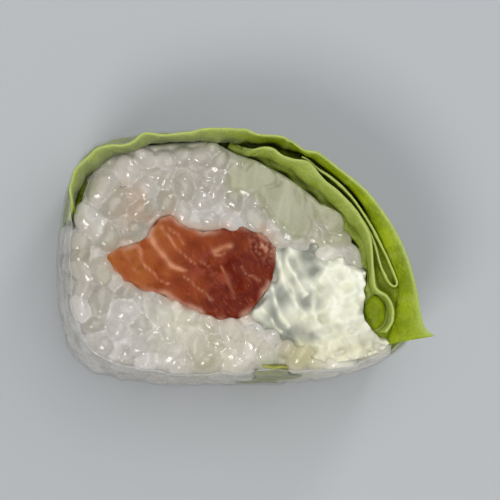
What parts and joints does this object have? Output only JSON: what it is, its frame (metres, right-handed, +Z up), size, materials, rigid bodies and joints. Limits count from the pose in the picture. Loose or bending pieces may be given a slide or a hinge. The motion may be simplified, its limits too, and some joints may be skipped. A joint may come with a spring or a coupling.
{
  "type": "salmon spring roll slice",
  "caption": "One cut slice of a rice-paper salmon roll, standing on a cut face: rice, raw salmon, cream cheese and lettuce in a clear wrapper.",
  "frame": {"origin": "centre of the bounding box's base, on the lower cut face", "axes": "+Z up, along the roll's own axis; +X along the long side of the oval section, from the salmon towards the cream cheese; +Y towards the lettuce side"},
  "size_m": [0.0618, 0.0424, 0.0302],
  "materials": {
    "rice_paper": "gloss",
    "lettuce": "satin",
    "rice": "gloss",
    "salmon": "gloss",
    "cream_cheese": "satin"
  },
  "bodies": {
    "root": {"rice_paper": "rice_paper", "lettuce_outer": "lettuce", "lettuce_inner": "lettuce", "lettuce_scrap": "lettuce", "rice": "rice", "salmon": "salmon", "cream_cheese": "cream_cheese"}
  },
  "joints": []
}
